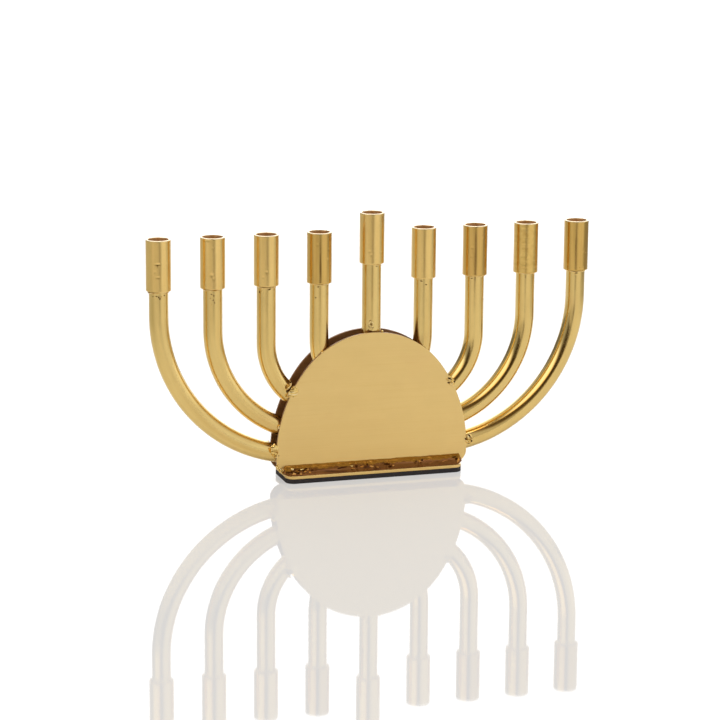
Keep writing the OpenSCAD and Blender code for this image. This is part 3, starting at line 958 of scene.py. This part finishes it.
solder_piece("rear_arm_drops", "rear_arm_solder", arm_blobs(1, 31))

# ---------------- camera
AZIMUTH, ELEVATION, ROLL = radians(17.404), radians(12.693), radians(0.465)
CAMERA_PLACE = (-0.43840, -1.38197, 0.38728)
camera_data = bpy.data.cameras.new("camera")
camera = bpy.data.objects.new("camera", camera_data)
scene.collection.objects.link(camera)
scene.camera = camera
camera_data.sensor_width = 36
camera_data.lens = 141.26
camera_data.clip_start = 0.05
camera_data.clip_end = 60
flat = cos(ELEVATION)
ahead = Vector((sin(AZIMUTH) * flat, cos(AZIMUTH) * flat, -sin(ELEVATION)))
level_right = Vector((cos(AZIMUTH), -sin(AZIMUTH), 0))
level_up = level_right.cross(ahead)
camera_right = level_right * cos(ROLL) + level_up * sin(ROLL)
camera_up = level_up * cos(ROLL) - level_right * sin(ROLL)
turned = Matrix((camera_right, camera_up, -ahead)).transposed().to_4x4()
camera.matrix_world = Matrix.Translation(CAMERA_PLACE) @ turned

# ---------------- floor and light
FLOOR_REACH, FLOOR_Z = 12.0, -0.02 * MM
floor_mesh = bpy.data.meshes.new("floor")
corners = [(x * FLOOR_REACH, y * FLOOR_REACH, FLOOR_Z) for x, y in ((-1, -1), (1, -1), (1, 1), (-1, 1))]
floor_mesh.from_pydata(corners, [], [(0, 1, 2, 3)])
floor = bpy.data.objects.new("floor", floor_mesh)
scene.collection.objects.link(floor)
floor_material = bpy.data.materials.new("floor")
floor_material.use_nodes = True
tree = floor_material.node_tree
tree.nodes.clear()
# What the camera sees: a white sheet that glows as painted light, brighter away from the middle, with a
# faint reflection
seen = add(tree, "LightPath").outputs["Is Camera Ray"]
where = add(tree, "TexCoord").outputs["Object"]
away = add(tree, "VectorMath", {0: where}, operation="LENGTH").outputs["Value"]
white = ease(tree, away, 0.45, 1.6, 0.43, 1.1)
own_light = add(tree, "Emission", {"Color": (1, 1, 1, 1), "Strength": white})
faint = add(tree, "BsdfDiffuse", {"Color": (0.26, 0.26, 0.26, 1)})
gloss = add(tree, "BsdfGlossy", {"Color": (0.19, 0.19, 0.19, 1), "Roughness": 0.03})
shown = add(tree, "AddShader", {0: own_light.outputs[0], 1: faint.outputs[0]})
shown = add(tree, "AddShader", {0: shown.outputs[0], 1: gloss.outputs[0]})
# What the brass sees: a matt table, palest in the middle, with darker places on both sides and in front
place = add(tree, "SeparateXYZ", {0: where})
across, depth = place.outputs["X"], place.outputs["Y"]
left = ease(tree, across, -0.1, -0.5)
front = times(tree, ease(tree, depth, -0.3, -0.65), ease(tree, across, 0.22, -0.12))
opening = times(tree, ease(tree, depth, -0.9, -1.5), ease(tree, across, 0.3, 0.1))
opening = times(tree, opening, ease(tree, across, -0.8, -0.5))
right = times(tree, ease(tree, across, 0.3, 0.75), ease(tree, depth, -0.5, -0.25))
near = ease(tree, depth, -0.35, -0.1)
table = mix(tree, left, (0.9, 0.9, 0.89), mix(tree, near, (0.84, 0.83, 0.8), (0.6, 0.59, 0.55)))
table = mix(tree, times(tree, front, 0.6), table, (0.5, 0.48, 0.44))
DARK_PLACE = (-0.09, -0.6, 0)
gap = add(tree, "VectorMath", {0: where, 1: DARK_PLACE}, operation="DISTANCE").outputs["Value"]
table = mix(tree, ease(tree, gap, 0.17, 0.06, 0, 0.92), table, (0.1, 0.07, 0.05))
table = mix(tree, opening, table, (0.2, 0.18, 0.15))
table = mix(tree, right, table, (0.36, 0.35, 0.32))
matt = add(tree, "BsdfDiffuse", {"Color": table})
both = add(tree, "MixShader", {0: seen, 1: matt.outputs[0], 2: shown.outputs[0]})
add(tree, "OutputMaterial", {"Surface": both.outputs[0]})
floor_mesh.materials.append(floor_material)

world = bpy.data.worlds.new("studio")
scene.world = world
world.use_nodes = True
tree = world.node_tree
tree.nodes.clear()
direction = add(tree, "TexCoord").outputs["Generated"]


def lobe(azimuth, elevation, full, fade):
    """1 round a direction and 0 further off, in degrees; azimuth is from the front to the right."""
    turn, lift = radians(azimuth), radians(elevation)
    towards = (sin(turn) * cos(lift), -cos(turn) * cos(lift), sin(lift))
    near = add(tree, "VectorMath", {0: direction, 1: towards}, operation="DOT_PRODUCT")
    return ease(tree, near.outputs["Value"], cos(radians(fade)), cos(radians(full)))


def blended(level, factor, value):
    return add(tree, "Mix", {0: factor, 2: level, 3: value}, data_type="FLOAT").outputs[0]


def ring_of_light(turn, stops):
    """Brightness all round, as (azimuth in degrees, level) from straight behind by the left and front."""
    ramp = add(tree, "ValToRGB", {0: turn})
    ramp.color_ramp.interpolation = "LINEAR"
    while len(ramp.color_ramp.elements) < len(stops):
        ramp.color_ramp.elements.new(0.5)
    for element, (azimuth, level) in zip(ramp.color_ramp.elements, stops):
        element.position = (azimuth + 180) / 360
        element.color = (level, level, level, 1)
    return ramp.outputs[0]


axes = add(tree, "SeparateXYZ", {0: direction}).outputs
turn = maths(tree, "ARCTAN2", axes["X"], times(tree, axes["Y"], -1))
turn = maths(tree, "ADD", maths(tree, "DIVIDE", turn, 2 * pi), 0.5)
# The tent is open where the camera looks in, so it is dark there; a big soft panel hangs on the left.
LOW_RING = ((-180, 1.3), (-169, 0.14), (-140, 0.18), (-110, 0.3), (-85, 0.46), (-62, 0.42), (-47, 0.14))
LOW_RING += ((-28, 0.05), (-6, 0.07), (2, 0.45), (16, 0.74), (45, 0.88), (75, 1.2), (110, 0.9), (140, 1.3))
LOW_RING += ((180, 1.3),)
HIGH_RING = ((-180, 1.3), (-160, 0.7), (-130, 0.3), (-108, 0.35), (-92, 1.35), (-75, 1.65), (-34, 1.55))
HIGH_RING += ((-27, 0.2), (-20, 0.1), (-5, 0.1), (4, 0.62), (30, 0.9), (55, 0.86), (80, 0.66), (130, 0.8))
HIGH_RING += ((180, 1.3),)
WARM_RING = ((-180, 0), (-47, 0), (-30, 1), (-4, 1), (4, 0), (180, 0))
WARM_TONE = (1.0, 0.7, 0.34)
ROOF, LAMP, BACK_WALL, BACKDROP = 0.3, 4.3, 2.4, 2.0  # brightness; only the camera sees the backdrop
height = axes["Z"]
low_ring, high_ring = ring_of_light(turn, LOW_RING), ring_of_light(turn, HIGH_RING)
glow = blended(low_ring, ease(tree, height, 0.2, 0.4), high_ring)
glow = blended(glow, ease(tree, height, 0.8, 0.95), ROOF)
glow = blended(glow, ease(tree, height, 0.96, 0.985), LAMP)
glow = blended(glow, lobe(162.6, 12.7, 12, 24), BACK_WALL)
seen = add(tree, "LightPath").outputs["Is Camera Ray"]
level = blended(glow, seen, BACKDROP)
warm = times(tree, ring_of_light(turn, WARM_RING), maths(tree, "SUBTRACT", 1.0, seen))
tone = mix(tree, warm, (1, 1, 1), WARM_TONE)
background = add(tree, "Background", {"Color": tone, "Strength": level})
add(tree, "OutputWorld", {"Surface": background.outputs[0]})
scene.view_settings.view_transform = "Standard"
